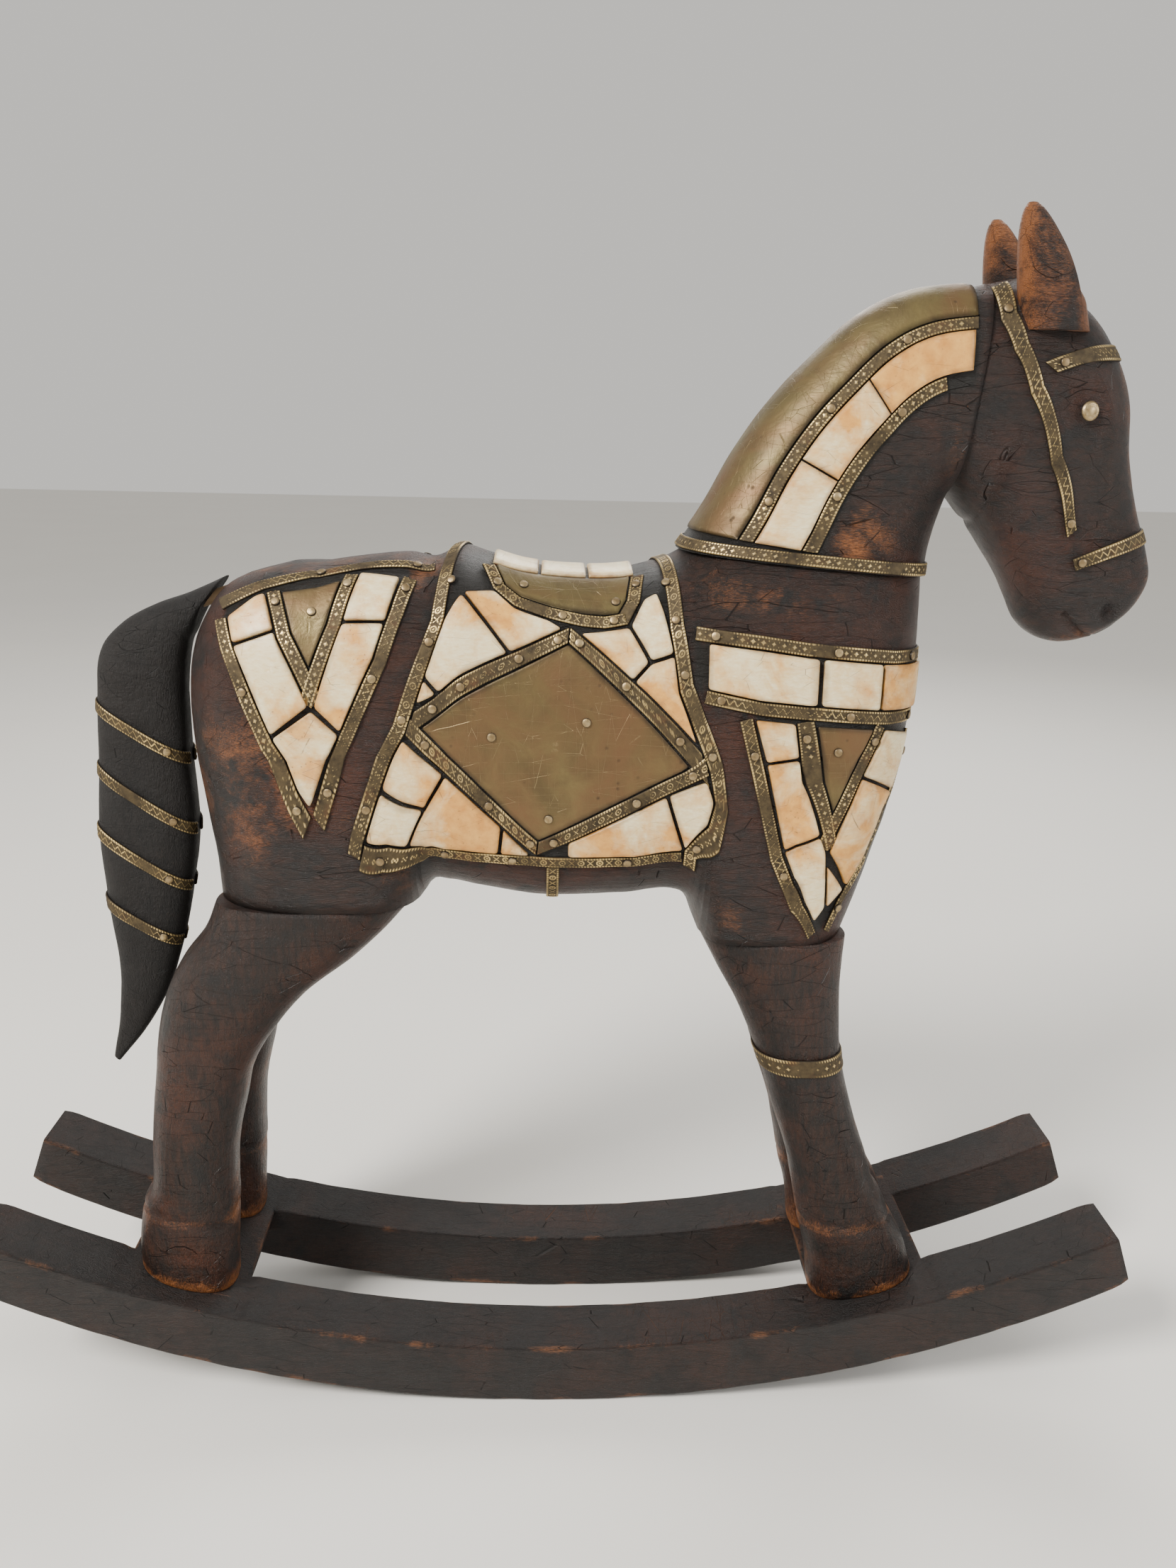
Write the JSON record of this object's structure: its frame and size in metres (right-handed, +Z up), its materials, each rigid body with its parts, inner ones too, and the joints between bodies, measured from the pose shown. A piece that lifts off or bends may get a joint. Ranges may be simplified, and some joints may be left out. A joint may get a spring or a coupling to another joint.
{
  "type": "rocking_horse",
  "caption": "Decorative carved wooden rocking horse on curved rockers, clad with tarnished embossed brass strips, brass sheet and bone inlay tiles.",
  "frame": {"origin": "on the floor under the middle of the horse, midway between the ends of the rockers", "axes": "+X forward to the horse's nose, +Y to the horse's left, +Z up"},
  "size_m": [0.38, 0.077, 0.3735],
  "materials": {
    "dark_wood": "dark stained and waxed carved wood, worn to orange-brown on edges, with fine scratches and cracks",
    "black_wood": "matt black stained wood",
    "dowel_wood": "plain pale dowel wood, unfinished",
    "iron_nail": "dull rusty iron nail",
    "bone": "creamy white polished bone with orange staining, fine grain and pits",
    "brass_sheet": "thin beaten brass sheet, tarnished olive to red-brown, with scratches and small dents",
    "brass_strip": "embossed brass strip with a beaded edge, rubbed bright on the high points",
    "brass_pin": "round brass pin heads, worn bright with dark rims"
  },
  "bodies": {
    "root": {"torso": "dark_wood", "neck": "dark_wood", "head": "dark_wood", "leg_front_right": "dark_wood", "leg_front_left": "dark_wood", "leg_rear_right": "dark_wood", "leg_rear_left": "dark_wood", "tail": "black_wood", "rocker_right": "dark_wood", "rocker_left": "dark_wood", "cross_slat_front": "dark_wood", "cross_slat_rear": "dark_wood", "neck_dowel": "dowel_wood", "head_dowel": "dowel_wood", "tail_peg": "dowel_wood", "leg_dowels": "dowel_wood", "hoof_pegs": "dowel_wood", "slat_nails": "iron_nail", "mane_plate": "brass_sheet", "neck_strips_right": "brass_strip", "neck_strips_left": "brass_strip", "neck_bone_right": "bone", "neck_bone_left": "bone", "neck_collar": "brass_strip", "cheek_straps": "brass_strip", "browband": "brass_strip", "noseband": "brass_strip", "eye_studs": "brass_pin", "chest_strap_upper": "brass_strip", "chest_strap_lower": "brass_strip", "chest_bone": "bone", "shoulder_plate_right": "brass_sheet", "shoulder_plate_left": "brass_sheet", "shoulder_bone_right": "bone", "shoulder_bone_left": "bone", "shoulder_strips_right": "brass_strip", "shoulder_strips_left": "brass_strip", "saddle_plate_right": "brass_sheet", "saddle_plate_left": "brass_sheet", "saddle_bone_right": "bone", "saddle_bone_left": "bone", "diamond_strips_right": "brass_strip", "diamond_strips_left": "brass_strip", "saddle_border": "brass_strip", "saddle_flap_right": "brass_sheet", "saddle_flap_left": "brass_sheet", "flap_strip_right": "brass_strip", "flap_strip_left": "brass_strip", "seat_bone": "bone", "girth_strap": "brass_strip", "haunch_plate_right": "brass_sheet", "haunch_plate_left": "brass_sheet", "haunch_bone_right": "bone", "haunch_bone_left": "bone", "haunch_strips_right": "brass_strip", "haunch_strips_left": "brass_strip", "leg_bands": "brass_strip", "tail_bands": "brass_strip", "brass_pins": "brass_pin"}
  },
  "joints": []
}
